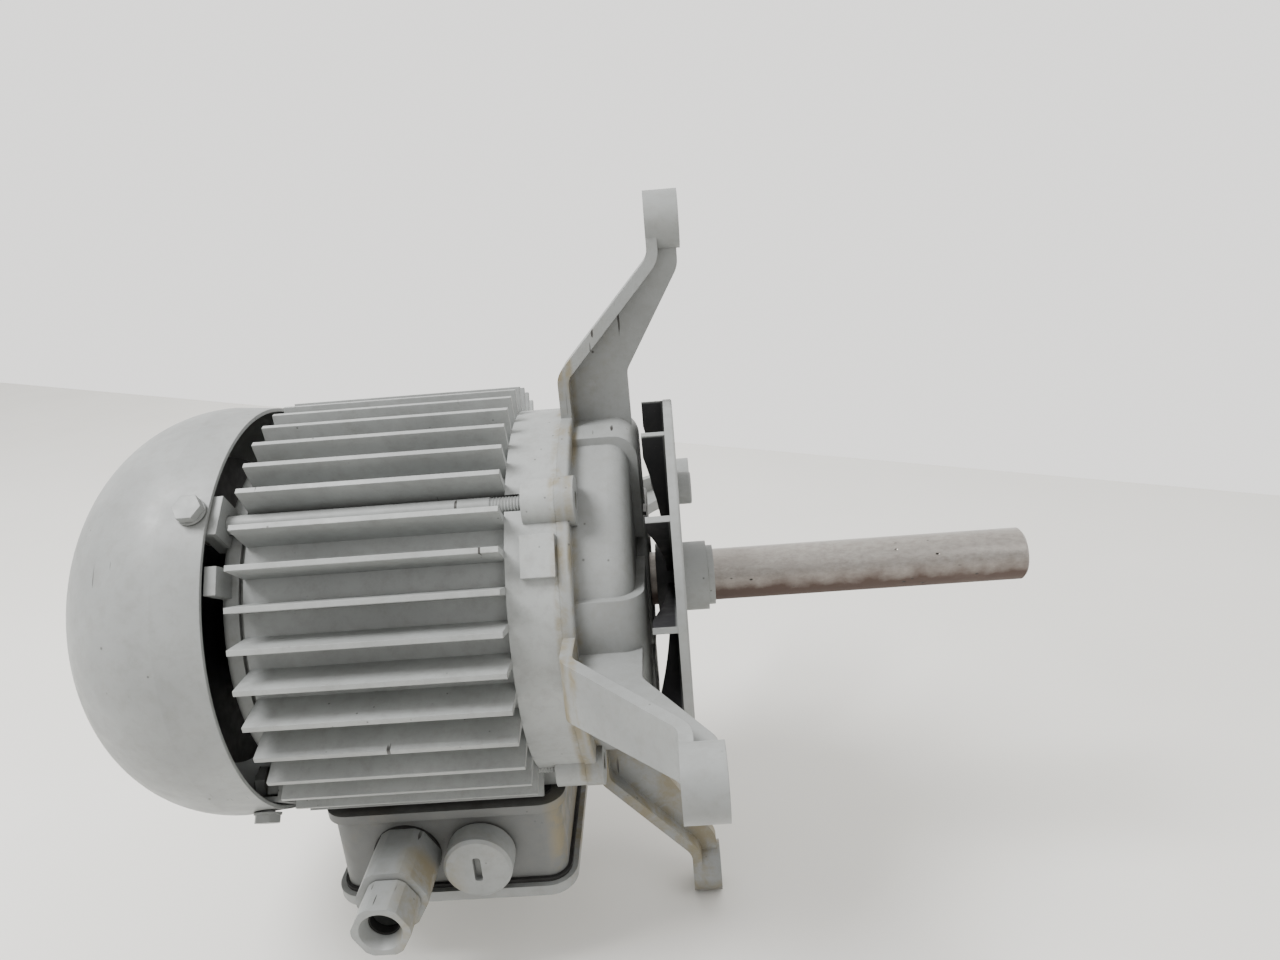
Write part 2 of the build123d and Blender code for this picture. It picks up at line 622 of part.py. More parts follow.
def rotor_cage():
    """Cast bars, end rings and the short fan paddles on the rings."""
    bar = Pos(0, 0, ROTOR_BAR_CIRCLE_R) * disc(CORE_BACK_X, CORE_FRONT_X, ROTOR_BAR_R)
    pieces = [
        disc(CORE_BACK_X - END_RING_W, CORE_BACK_X, ROTOR_R - 0.5, END_RING_IN_R),
        disc(CORE_FRONT_X, CORE_FRONT_X + END_RING_W, ROTOR_R - 0.5, END_RING_IN_R),
    ]
    pieces += [turn(360 * i / ROTOR_BARS, bar) for i in range(ROTOR_BARS)]
    front_x = CORE_FRONT_X + END_RING_W
    back_x = CORE_BACK_X - END_RING_W
    for i in range(5):
        front = block(front_x - 1, front_x + 5, -1.5, 1.5, END_RING_IN_R + 2, ROTOR_R - 2)
        back = block(back_x - 5, back_x + 1, -1.5, 1.5, END_RING_IN_R + 2, ROTOR_R - 2)
        pieces += [turn(72 * i, front), turn(72 * i, back)]
    return fuse(pieces)


def cooling_fan():
    hub = disc(FAN_BACK_X + FAN_HUB_SET, FAN_FRONT_X, FAN_HUB_R, SHAFT_FAN_R)
    plate = disc(FAN_FRONT_X - FAN_PLATE, FAN_FRONT_X, FAN_R, SHAFT_FAN_R)
    blade = block(FAN_BACK_X, FAN_FRONT_X - 1, -1.1, 1.1, FAN_HUB_R - 2, FAN_R - 0.5)
    blade &= turned([
        (FAN_BACK_X, 0, 0), (FAN_BACK_X, FAN_R, 14), (FAN_FRONT_X, FAN_R, 0), (FAN_FRONT_X, 0, 0),
    ])
    return hub + plate + [turn(360 * i / FAN_BLADES, blade) for i in range(FAN_BLADES)]


def fan_circlip():
    hub_back_x = FAN_BACK_X + FAN_HUB_SET
    ring = disc(hub_back_x - FAN_CLIP_T, hub_back_x, FAN_CLIP_R, SHAFT_FAN_R)
    return ring - block(FAN_BACK_X, hub_back_x, -2, 2, 0, FAN_CLIP_R + 1)


def vaned_wheel():
    """Front plate with straight vanes behind it, open at the back."""
    plate = turned([
        (WHEEL_FRONT_X - WHEEL_PLATE, WHEEL_SEAT_R, 0), (WHEEL_FRONT_X - WHEEL_PLATE, WHEEL_R, 0),
        (WHEEL_FRONT_X, WHEEL_R, 0.8), (WHEEL_FRONT_X, WHEEL_SEAT_R, 0),
    ])
    hub = disc(WHEEL_HUB_BACK_X, WHEEL_HUB_FRONT_X, WHEEL_HUB_R, WHEEL_SEAT_R)
    outer, middle, inner = WHEEL_VANE_ARCH
    front_x = WHEEL_FRONT_X - 1
    tip_r = WHEEL_R - 0.3
    vane_side = make_face([
        Line((front_x, inner[1]), (front_x, tip_r)),
        Line((front_x, tip_r), (WHEEL_BACK_X, tip_r)),
        Line((WHEEL_BACK_X, tip_r), outer),
        ThreePointArc(outer, middle, inner),
        Line(inner, (front_x, inner[1])),
    ])
    vane = extrude(Rot(90, 0, 0) * vane_side, WHEEL_VANE_T / 2, both=True)
    angles = [WHEEL_FIRST_VANE + 360 * i / WHEEL_VANES for i in range(WHEEL_VANES)]
    wheel = plate + hub + [turn(a, vane) for a in angles]
    return wheel - disc(-30, 10, WHEEL_SEAT_R)


def wheel_retaining_ring():
    return disc(WHEEL_HUB_FRONT_X, WHEEL_HUB_FRONT_X + WHEEL_RING_W, WHEEL_RING_R, WHEEL_SEAT_R)


def wheel_peg():
    peg = turned([
        (WHEEL_FRONT_X, 0, 0), (WHEEL_FRONT_X, WHEEL_PEG_R, 0),
        (WHEEL_FRONT_X + WHEEL_PEG_L, WHEEL_PEG_R, 0.7), (WHEEL_FRONT_X + WHEEL_PEG_L, 0, 0),
    ])
    return Pos(0, 0, WHEEL_PEG_CIRCLE_R) * peg


# ---- stator pack ------------------------------------------------------------
def slot_face(width_in, width_out, r_in, r_out):
    return make_face(Polyline(
        (-width_in / 2, r_in), (-width_out / 2, r_out),
        (width_out / 2, r_out), (width_in / 2, r_in), close=True,
    ))


def stator_core():
    slot = slot_face(SLOT_W, SLOT_W + 2.6, SLOT_IN_R, SLOT_OUT_R)
    slot += slot_face(SLOT_MOUTH_W, SLOT_MOUTH_W, STATOR_BORE_R - 1, SLOT_IN_R + 1)
    section = Circle(BARREL_BORE_R) - Circle(STATOR_BORE_R)
    section -= [Rot(0, 0, 360 * i / STATOR_SLOTS) * slot for i in range(STATOR_SLOTS)]
    return extrude(Plane.YZ.offset(CORE_BACK_X) * section, amount=CORE_FRONT_X - CORE_BACK_X)


def stator_winding():
    """Slot bundles joined by the two rounded, lashed coil ends."""
    bundle = slot_face(SLOT_W - 0.4, SLOT_W + 2.1, SLOT_IN_R + 1.2, SLOT_OUT_R - 0.3)
    x0 = CORE_BACK_X - 2
    bars = [Rot(0, 0, 360 * i / STATOR_SLOTS) * bundle for i in range(STATOR_SLOTS)]
    pieces = []
    for face in bars:
        pieces.append(extrude(Plane.YZ.offset(x0) * face, CORE_FRONT_X - CORE_BACK_X + 4))
    for x_in, x_out in ((CORE_BACK_X - 1, CORE_BACK_X - 1 - WINDING_OVERHANG),
                        (CORE_FRONT_X + 1, CORE_FRONT_X + 1 + WINDING_OVERHANG)):
        low, high = min(x_in, x_out), max(x_in, x_out)
        pieces.append(turned([
            (low, WINDING_IN_R, 5), (low, WINDING_OUT_R, 5),
            (high, WINDING_OUT_R, 5), (high, WINDING_IN_R, 5),
        ]))
    return fuse(pieces)


# ---- terminal box -----------------------------------------------------------
def lid_screw_places():
    inset = BOX_SCREW_INSET
    return [(x, y) for x in (BOX_BACK_X + inset, BOX_FRONT_X - inset)
            for y in (-BOX_HALF_W + inset, BOX_HALF_W - inset)]


def base_screw_places():
    return [(x, y) for x in BASE_SCREW_X for y in (-BASE_SCREW_Y, BASE_SCREW_Y)]


def seat_gasket():
    sheet = slab(-3, SEAT_Z, SEAT_Z - SEAT_GASKET)
    sheet -= block(*WINDOW_X, -WINDOW_HALF_W, WINDOW_HALF_W, SEAT_Z - 2, SEAT_Z + 1)
    return sheet - [post(x, y, SEAT_Z - 2, SEAT_Z + 1, 2.8) for x, y in base_screw_places()]


def terminal_box():
    top = SEAT_Z - SEAT_GASKET
    body = slab(0, top, BOX_RIM_Z) - slab(-BOX_WALL, BOX_FLOOR_Z, BOX_RIM_Z - 1)
    body += slab(FLANGE_LIP, top, top - FLANGE_T)
    body += [post(x, y, BOX_RIM_Z, BOX_FLOOR_Z + 0.5, 4.6) & slab(-0.5, top, BOX_RIM_Z)
             for x, y in lid_screw_places()]
    body -= block(*WINDOW_X, -WINDOW_HALF_W, WINDOW_HALF_W, BOX_FLOOR_Z - 1, top + 1)
    body -= [post(x, y, BOX_RIM_Z - 1, BOX_RIM_Z + 13, 1.9) for x, y in lid_screw_places()]
    body -= [post(x, y, BOX_FLOOR_Z - 1, top + 1, 2.8) for x, y in base_screw_places()]
    for x in (GLAND_X, PLUG_X):
        body -= entry(x, -BOX_HALF_W + 10, -BOX_HALF_W - 1, Circle(ENTRY_R))
    return body


def box_base_screws():
    """Pan-head screws that hold the box to the housing's seat."""
    pan = extrude(Circle(4.4), 2.6) - Pos(0, 0, 2.1) * Box(1.0, 9.0, 1.4)
    piece = pan + Pos(0, 0, -10) * extrude(Circle(2.1), 10)
    flip = Rot(180, 0, 0)
    return group([Pos(x, y, BOX_FLOOR_Z) * flip * piece for x, y in base_screw_places()])


def lid_gasket():
    z_top, z_bottom = BOX_RIM_Z, BOX_RIM_Z - LID_GASKET
    ring = slab(1.3, z_top, z_bottom) - slab(-BOX_WALL, z_top + 1, z_bottom - 1)
    ears = [post(x, y, z_bottom, z_top, 4.4) & slab(-0.5, z_top, z_bottom)
            for x, y in lid_screw_places()]
    ring += ears
    return ring - [post(x, y, z_bottom - 1, z_top + 1, 2.4) for x, y in lid_screw_places()]


def terminal_box_lid():
    z_top = BOX_RIM_Z - LID_GASKET
    z_bottom = z_top - LID_T
    lid = slab(LID_LIP, z_top, z_bottom)
    lid = fillet(lid.faces().sort_by(Axis.Z)[0].edges(), 2.2)
    panel = slab(-11, z_bottom + 0.5, z_bottom - LID_PANEL)
    lid += fillet(panel.faces().sort_by(Axis.Z)[0].edges(), 1.2)
    lid -= slab(-14, z_top + 1, z_top - 3.0)
    for x, y in lid_screw_places():
        lid -= post(x, y, z_bottom - 1, z_top + 1, 2.3)
        lid -= post(x, y, z_bottom - 1, z_bottom + 2.4, 4.2)
    return lid


def lid_screws():
    """Cheese-head screws sunk in the lid's corners."""
    z_seat = BOX_RIM_Z - LID_GASKET - LID_T + 2.4
    head = extrude(Circle(3.9), 2.6) - Pos(0, 0, 2.2) * Box(1.1, 9.0, 1.6)
    piece = head + Pos(0, 0, -12) * extrude(Circle(1.9), 12)
    flip = Rot(180, 0, 0)
    return group([Pos(x, y, z_seat) * flip * piece for x, y in lid_screw_places()])


def stud_places():
    middle = sum(BOARD_X) / 2
    return [(middle + i * STUD_PITCH, y) for i in (-1, 0, 1) for y in (-STUD_ROW_Y, STUD_ROW_Y)]


def terminal_board():
    board = block(*BOARD_X, -BOARD_HALF_W, BOARD_HALF_W, BOARD_TOP_Z - BOARD_T, BOARD_TOP_Z)
    board = fillet(board.edges().filter_by(Axis.Z), 2.5)
    for x in BOARD_X:
        inset = 3.5 if x == BOARD_X[0] else -3.5
        board += post(x + inset, 0, BOARD_TOP_Z, BOX_FLOOR_Z, 3.2)
        board -= post(x + inset, 0, BOARD_TOP_Z - 10, BOX_FLOOR_Z + 1, 1.8)
    for x in (-1, 1):
        wall_x = sum(BOARD_X) / 2 + x * STUD_PITCH / 2
        board += block(wall_x - 0.8, wall_x + 0.8, -BOARD_HALF_W, BOARD_HALF_W,
                       BOARD_TOP_Z - BOARD_T - 5, BOARD_TOP_Z - BOARD_T)
    return board - [post(x, y, BOARD_TOP_Z - 10, BOARD_TOP_Z + 1, STUD_R) for x, y in stud_places()]


def terminal_studs():
    return group([post(x, y, STUD_TIP_Z, BOARD_TOP_Z, STUD_R) for x, y in stud_places()])


def terminal_nuts():
    z_top = BOARD_TOP_Z - BOARD_T - 1.2
    nut = extrude(hexagon(7), 3.0) - extrude(Circle(STUD_R), 3.0)
    return group([Pos(x, y, z_top - 3.0) * nut for x, y in stud_places()])


def terminal_links():
    """Brass bars under the nuts, each joining the two studs of a phase."""
    z_top = BOARD_TOP_Z - BOARD_T
    link = SlotCenterToCenter(2 * STUD_ROW_Y, 6.2)
    link -= [Pos(s * STUD_ROW_Y, 0) * Circle(STUD_R) for s in (-1, 1)]
    bar = Rot(0, 0, 90) * extrude(link, 1.2)
    middle = sum(BOARD_X) / 2
    return group([Pos(middle + i * STUD_PITCH, 0, z_top - 1.2) * bar for i in (-1, 0, 1)])


def board_screws():
    z_seat = BOARD_TOP_Z - BOARD_T
    shank = BOX_FLOOR_Z - z_seat
    piece = extrude(Circle(2.8), 2.2) + Pos(0, 0, -shank) * extrude(Circle(1.8), shank)
    flip = Rot(180, 0, 0)
    return group([Pos(x, 0, z_seat) * flip * piece
                  for x in (BOARD_X[0] + 3.5, BOARD_X[1] - 3.5)])


def earth_screw():
    cup = extrude(Circle(4.5), 1.0) + Pos(0, 0, 1.0) * extrude(hexagon(7), 3.0)
    return Pos(EARTH_SCREW_X, 0, BOX_FLOOR_Z) * Rot(180, 0, 0) * cup


def winding_leads():
    """Six insulated leads from the coil ends, through the window, to the studs."""
    middle = sum(BOARD_X) / 2
    leads = []
    for i in (-1, 0, 1):
        for side in (-1, 1):
            y_stud = side * (BOARD_HALF_W + 1.6)
            x = middle + i * STUD_PITCH + 5.0
            x_in = middle + i * 6.5
            y_in = side * 5.0
            route = FilletPolyline(
                (x_in, y_in, -60.5), (x_in, y_in, -68.3), (x, y_stud, -68.7), (x, y_stud, -80.0),
                radius=1.2,
            )
            section = Plane(origin=route @ 0, z_dir=route % 0) * Circle(0.9)
            leads.append(sweep(section, route))
    return group(leads)


# ---- cable gland and blanking plug ------------------------------------------
def flat_washer(x, outer_r):
    return entry(x, -BOX_HALF_W, -BOX_HALF_W - SEAL_T, Circle(outer_r) - Circle(ENTRY_R))


def gland_body():
    y_seat = -BOX_HALF_W - SEAL_T
    end_y = GLAND_BODY_END_Y
    body = entry(GLAND_X, y_seat, end_y, hexagon(GLAND_BODY_AF))
    body &= entry(GLAND_X, y_seat, end_y, Circle(GLAND_BODY_AF * HEX_ROUNDING))
    body += entry(GLAND_X, -BOX_HALF_W + ENTRY_L, y_seat, Circle(ENTRY_R - 0.1))
    body += entry(GLAND_X, end_y, end_y - GLAND_THREAD_L, Circle(GLAND_THREAD_R))
    body -= entry(GLAND_X, -BOX_HALF_W + ENTRY_L + 1, end_y - GLAND_THREAD_L - 1, Circle(GLAND_BORE_R))
    return body


def gland_seal():
    y0 = GLAND_BODY_END_Y - GLAND_THREAD_L
    ring = Circle(GLAND_THREAD_R - 0.2) - Circle(CABLE_R)
    return entry(GLAND_X, y0, y0 - GLAND_SEAL_L, ring)


def gland_nut():
    y0 = GLAND_BODY_END_Y - 0.6
    seat_y = GLAND_BODY_END_Y - GLAND_THREAD_L - GLAND_SEAL_L - 0.3
    exit_r = CABLE_R + 0.4
    nut = entry(GLAND_X, y0, GLAND_NUT_END_Y, hexagon(GLAND_NUT_AF))
    nut &= entry(GLAND_X, y0, GLAND_NUT_END_Y, Circle(GLAND_NUT_AF * HEX_ROUNDING))
    nut -= entry(GLAND_X, y0 + 1, seat_y, Circle(GLAND_THREAD_R + 0.05))
    nut -= entry(GLAND_X, y0, GLAND_NUT_END_Y - 1, Circle(exit_r))
    mouth = Plane(origin=(GLAND_X, GLAND_NUT_END_Y, ENTRY_Z), x_dir=(1, 0, 0), z_dir=(0, 1, 0))
    cone = Cone(GLAND_MOUTH_R, exit_r, GLAND_MOUTH_L, align=(Align.CENTER, Align.CENTER, Align.MIN))
    return nut - mouth * cone


def blanking_plug():
    y_seat = -BOX_HALF_W - SEAL_T
    head = entry(PLUG_X, y_seat, y_seat - PLUG_HEAD_H, Circle(PLUG_HEAD_R))
    head = chamfer(head.edges().filter_by(GeomType.CIRCLE).sort_by(Axis.Y)[0], 1.0)
    head += entry(PLUG_X, -BOX_HALF_W + ENTRY_L - 1, y_seat, Circle(ENTRY_R - 0.1) - Circle(PLUG_CORE_R))
    width, length, depth = PLUG_SLOT
    y_face = y_seat - PLUG_HEAD_H
    return head - entry(PLUG_X, y_face + depth, y_face - 1, RectangleRounded(width, length, 1.0))


PARTS = {
    "stator_frame": stator_frame,
    "stator_core": stator_core,
    "stator_winding": stator_winding,
    "drive_end_shield": drive_end_shield,
    "rear_end_shield": rear_end_shield,
    "tie_bolts": tie_bolts,
    "tie_bolt_washers": tie_bolt_washers,
    "cowl_brackets": cowl_brackets,
    "fan_cowl": fan_cowl,
    "cowl_screws": cowl_screws,
    "wave_washer": wave_washer,
    "shaft_seal": shaft_seal,
    "shaft": shaft,
    "rotor_core": rotor_core,
    "rotor_cage": rotor_cage,
    "cooling_fan": cooling_fan,
    "fan_circlip": fan_circlip,
    "vaned_wheel": vaned_wheel,
    "wheel_retaining_ring": wheel_retaining_ring,
    "wheel_peg": wheel_peg,
    "seat_gasket": seat_gasket,
    "terminal_box": terminal_box,
    "box_base_screws": box_base_screws,
    "lid_gasket": lid_gasket,
    "terminal_box_lid": terminal_box_lid,
    "lid_screws": lid_screws,
    "terminal_board": terminal_board,
    "board_screws": board_screws,
    "terminal_studs": terminal_studs,
    "terminal_links": terminal_links,
    "terminal_nuts": terminal_nuts,
    "earth_screw": earth_screw,
    "winding_leads": winding_leads,
    "gland_washer": lambda: flat_washer(GLAND_X, 12.2),
    "gland_body": gland_body,
    "gland_seal": gland_seal,
    "gland_nut": gland_nut,
    "plug_washer": lambda: flat_washer(PLUG_X, 11.2),
    "blanking_plug": blanking_plug,
}
for end, x in (("drive_end", DE_BEARING_X), ("fan_end", NDE_BEARING_X)):
    PARTS[end + "_bearing_outer"] = lambda x=x: race(x, inner=False)
    PARTS[end + "_bearing_inner"] = lambda x=x: race(x, inner=True)
    PARTS[end + "_bearing_balls"] = lambda x=x: balls(x)
    PARTS[end + "_bearing_cage"] = lambda x=x: cage(x)

for name, make in PARTS.items():
    export_step(make(), f"parts/{name}.step")
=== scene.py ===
"""Looks of the four-armed, fan-cooled motor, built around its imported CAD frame.

Lengths are metres in the CAD frame: +X along the shaft to the drive end, +Z up.
"""
import json
from math import cos, radians, sin

import bpy
from mathutils import Matrix, Vector


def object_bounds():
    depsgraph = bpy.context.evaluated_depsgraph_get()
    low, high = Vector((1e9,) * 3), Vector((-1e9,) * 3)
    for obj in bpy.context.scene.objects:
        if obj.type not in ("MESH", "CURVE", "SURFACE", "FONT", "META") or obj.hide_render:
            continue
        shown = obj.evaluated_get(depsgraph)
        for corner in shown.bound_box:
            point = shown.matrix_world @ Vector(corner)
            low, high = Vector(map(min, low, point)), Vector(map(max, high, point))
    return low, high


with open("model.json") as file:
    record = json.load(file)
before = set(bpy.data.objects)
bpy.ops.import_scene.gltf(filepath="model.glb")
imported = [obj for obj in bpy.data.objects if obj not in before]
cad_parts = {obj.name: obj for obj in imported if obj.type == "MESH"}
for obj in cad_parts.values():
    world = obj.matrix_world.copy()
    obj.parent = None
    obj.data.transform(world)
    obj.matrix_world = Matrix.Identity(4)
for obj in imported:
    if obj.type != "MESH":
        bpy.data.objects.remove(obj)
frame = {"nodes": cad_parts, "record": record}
cad_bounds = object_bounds()
nodes = frame["nodes"]

MM = 0.001

# sockets of the colour mix node, which shares their names with its other data types
MIX_A, MIX_B, MIX_RESULT = 6, 7, 2

# ---- colours, linear --------------------------------------------------------
PAINT_LIGHT = (0.270, 0.280, 0.276)
PAINT_DARK = (0.205, 0.213, 0.210)
GRIME_AND_SHADE = (0.040, 0.036, 0.028)
CLAY = (0.185, 0.155, 0.092)
# dark for dirt, and for painted shade in corners
DUST = (0.150, 0.146, 0.130)
# dark for chips, scratches and pits, and for painted shade inside the cowl
DARK_CHIP_AND_SHADE = (0.035, 0.033, 0.030)
BLACK_PLASTIC = (0.012, 0.012, 0.014)
BLACK_DUST = (0.055, 0.052, 0.048)
STEEL = (0.44, 0.42, 0.39)
# brown for stains and rust, and for the painted dark reflection on the shaft's lower side
STEEL_STAIN_AND_SHADE = (0.075, 0.048, 0.038)
STEEL_DARK = (0.30, 0.28, 0.26)
ZINC = (0.55, 0.54, 0.50)
BRASS = (0.72, 0.50, 0.20)
COPPER = (0.42, 0.14, 0.05)
VARNISH = (0.20, 0.07, 0.03)
ALUMINIUM = (0.62, 0.63, 0.64)
RUBBER = (0.010, 0.010, 0.010)
BOARD = (0.03, 0.026, 0.022)
SLEEVE = (0.22, 0.03, 0.02)


# ---- material building blocks -----------------------------------------------
class Finish:
    """A node material built from noise layers in the object's own coordinates."""

    def __init__(self, name, roughness=0.5, metallic=0.0, specular=0.5):
        self.material = bpy.data.materials.new(name)
        self.material.use_nodes = True
        self.tree = self.material.node_tree
        self.tree.nodes.clear()
        self.shader = self.add("ShaderNodeBsdfPrincipled")
        self.shader.inputs["Roughness"].default_value = roughness
        self.shader.inputs["Metallic"].default_value = metallic
        self.shader.inputs["Specular IOR Level"].default_value = specular
        output = self.add("ShaderNodeOutputMaterial")
        self.link(self.shader.outputs["BSDF"], output.inputs["Surface"])
        self.place = self.add("ShaderNodeTexCoord").outputs["Object"]

    def add(self, kind, **settings):
        node = self.tree.nodes.new(kind)
        for key, value in settings.items():
            setattr(node, key, value)
        return node

    def link(self, source, target):
        self.tree.links.new(source, target)

    def stretched(self, scale):
        """The coordinates scaled per axis, so that a pattern runs along one of them."""
        mapping = self.add("ShaderNodeMapping")
        mapping.inputs["Scale"].default_value = scale
        self.link(self.place, mapping.inputs["Vector"])
        return mapping.outputs["Vector"]

    def noise(self, scale, detail=4.0, rough=0.55, stretch=None, distortion=0.0):
        node = self.add("ShaderNodeTexNoise")
        node.inputs["Scale"].default_value = scale
        node.inputs["Detail"].default_value = detail
        node.inputs["Roughness"].default_value = rough
        node.inputs["Distortion"].default_value = distortion
        where = self.stretched(stretch) if stretch else self.place
        self.link(where, node.inputs["Vector"])
        return node.outputs["Fac"]

    def cells(self, scale, stretch=None):
        node = self.add("ShaderNodeTexVoronoi")
        node.inputs["Scale"].default_value = scale
        where = self.stretched(stretch) if stretch else self.place
        self.link(where, node.inputs["Vector"])
        return node.outputs["Distance"]

    def ramp(self, source, low, high, start=0.0, end=1.0):
        node = self.add("ShaderNodeMapRange")
        node.inputs["From Min"].default_value = low
        node.inputs["From Max"].default_value = high
        node.inputs["To Min"].default_value = start
        node.inputs["To Max"].default_value = end
        self.link(source, node.inputs["Value"])
        return node.outputs["Result"]

    def math(self, operation, a, b=None):
        node = self.add("ShaderNodeMath", operation=operation)
        for i, value in enumerate((a, b)):
            if value is None:
                continue
            if isinstance(value, (int, float)):
                node.inputs[i].default_value = value
            else:
                self.link(value, node.inputs[i])
        return node.outputs["Value"]

    def mix(self, factor, a, b):
        node = self.add("ShaderNodeMix", data_type="RGBA")
        self.link(factor, node.inputs["Factor"])
        for index, value in ((MIX_A, a), (MIX_B, b)):
            if isinstance(value, tuple):
                node.inputs[index].default_value = (*value, 1.0)
            else:
                self.link(value, node.inputs[index])
        return node.outputs[MIX_RESULT]

    def crevice(self, reach):
        """1 in a deep corner, 0 on open ground: the mask for dirt and painted shade in corners."""
        node = self.add("ShaderNodeAmbientOcclusion", samples=6)
        node.inputs["Distance"].default_value = reach
        return self.math("SUBTRACT", 1.0, node.outputs["AO"])

    def axis(self, index):
        node = self.add("ShaderNodeSeparateXYZ")
        self.link(self.place, node.inputs["Vector"])
        return node.outputs[index]

    def radius(self):
        """Distance from the shaft's axis."""
        y = self.math("POWER", self.math("ABSOLUTE", self.axis(1)), 2.0)
        z = self.math("POWER", self.math("ABSOLUTE", self.axis(2)), 2.0)
        return self.math("SQRT", self.math("ADD", y, z))

    def colour(self, value):
        self.link(value, self.shader.inputs["Base Color"])

    def roughness(self, value):
        self.link(value, self.shader.inputs["Roughness"])

    def bump(self, layers):
        """Stack of (height, strength, distance) bumps, on rounded edges."""
        last = self.add("ShaderNodeBevel", samples=4)
        last.inputs["Radius"].default_value = 0.35 * MM
        normal = last.outputs["Normal"]
        for height, strength, distance in layers:
            node = self.add("ShaderNodeBump")
            node.inputs["Strength"].default_value = strength
            node.inputs["Distance"].default_value = distance
            self.link(height, node.inputs["Height"])
            self.link(normal, node.inputs["Normal"])
            normal = node.outputs["Normal"]
        self.link(normal, self.shader.inputs["Normal"])


def band(f, source, low, high, soft):
    """1 between low and high, falling to 0 over the soft distance outside."""
    rise = f.ramp(source, low - soft, low)
    fall = f.ramp(source, high, high + soft, 1.0, 0.0)
    return f.math("MULTIPLY", rise, fall)


def settled_dirt(f):
    """Where clay has dried on: the seam, the arm roots, the box end and the lower arm."""
    x, y, z = f.axis(0), f.axis(1), f.axis(2)
    radius = f.radius()
    outside = f.ramp(radius, 58 * MM, 60 * MM)
    seam = f.math("MULTIPLY", band(f, x, -46 * MM, -43.6 * MM, 1.5 * MM), outside)
    step = f.math("MULTIPLY", band(f, x, -41.4 * MM, -40.2 * MM, 1.2 * MM), outside)
    box_end = f.math("MULTIPLY", f.ramp(x, -63 * MM, -59 * MM), f.ramp(z, -60 * MM, -66 * MM))
    lower_arm = f.math("MULTIPLY", f.ramp(z, -66 * MM, -74 * MM), f.ramp(x, -46 * MM, -44 * MM))
    gland_side = f.math("MULTIPLY", f.ramp(y, -50 * MM, -56 * MM), f.ramp(x, -112 * MM, -104 * MM))
    gland_side = f.math("MULTIPLY", gland_side, f.ramp(x, -96 * MM, -90 * MM, 1.0, 0.0))
    gland_side = f.math("MULTIPLY", gland_side, f.ramp(z, -66 * MM, -70 * MM))
    places = seam
    for more in (step, box_end, lower_arm, gland_side):
        places = f.math("MAXIMUM", places, more)
    return places


def painted_colour(f, grime_and_shade_reach, grime_and_shade_share, stain_share, brightness_shift=1.0):
    """Grey paint with cloudy tone, dirt and painted shade in corners, clay stains and small chips."""
    light = tuple(c * brightness_shift for c in PAINT_LIGHT)
    dark = tuple(c * brightness_shift for c in PAINT_DARK)
    tone = f.ramp(f.noise(28.0, 5.0), 0.3, 0.7)
    colour = f.mix(tone, dark, light)
    dust = f.ramp(f.noise(230.0, 6.0, 0.7), 0.46, 0.75, 0.0, 0.35)
    colour = f.mix(dust, colour, DUST)
    grain = f.ramp(f.noise(420.0, 3.0, 0.7), 0.38, 0.6)
    patch = f.ramp(f.noise(17.0, 6.0, 0.65, distortion=0.6), 0.55, 0.72)
    stain = f.math("MULTIPLY", f.math("MULTIPLY", patch, grain), stain_share * 0.5)
    colour = f.mix(stain, colour, CLAY)
    blotch = f.ramp(f.noise(75.0, 5.0, 0.7, distortion=0.4), 0.40, 0.60)
    clay = f.math("MULTIPLY", f.math("MULTIPLY", settled_dirt(f), blotch), 0.85)
    colour = f.mix(clay, colour, CLAY)
    # dirt and painted shade: corners darkened by ambient occlusion
    corner = f.ramp(f.crevice(grime_and_shade_reach), 0.35, 0.95)
    uneven = f.ramp(f.noise(90.0, 5.0, 0.7), 0.3, 0.7, 0.35, 1.0)
    grime_and_shade = f.math("MULTIPLY", f.math("MULTIPLY", corner, uneven), grime_and_shade_share)
    colour = f.mix(grime_and_shade, colour, GRIME_AND_SHADE)
    fleck = f.ramp(f.cells(210.0), 0.04, 0.10, 1.0, 0.0)
    flecks = f.math("MULTIPLY", fleck, f.ramp(f.noise(35.0, 3.0), 0.52, 0.58))
    spot = f.ramp(f.cells(75.0), 0.02, 0.05, 1.0, 0.0)
    sparse = f.ramp(f.noise(22.0, 2.0), 0.56, 0.60)
    chips = f.math("MAXIMUM", f.math("MULTIPLY", spot, sparse), f.math("MULTIPLY", flecks, 0.7))
    scratch = f.ramp(f.noise(60.0, 2.0, 0.5, stretch=(9.0, 1.0, 0.6)), 0.70, 0.72)
    chips = f.math("MAXIMUM", chips, f.math("MULTIPLY", scratch, sparse))
    return f.mix(chips, colour, DARK_CHIP_AND_SHADE), chips


def paint(name, cast, grime_and_shade_reach=0.012, grime_and_shade_share=0.75, stain_share=0.5, brightness_shift=1.0):
    f = Finish(name, roughness=0.5, specular=0.45)
    colour, chips = painted_colour(f, grime_and_shade_reach, grime_and_shade_share, stain_share, brightness_shift)
    f.colour(colour)
    f.roughness(f.ramp(f.noise(160.0, 4.0), 0.3, 0.7, 0.42, 0.6))
    peel = f.noise(1500.0 if cast else 900.0, 2.0)
    swell = f.noise(140.0, 3.0)
    deep = f.math("SUBTRACT", 1.0, chips)
    f.bump([
        (swell, 0.25 if cast else 0.06, 0.6 * MM),
        (peel, 0.30 if cast else 0.10, 0.12 * MM),
        (deep, 0.5, 0.1 * MM),
    ])
    return f.material


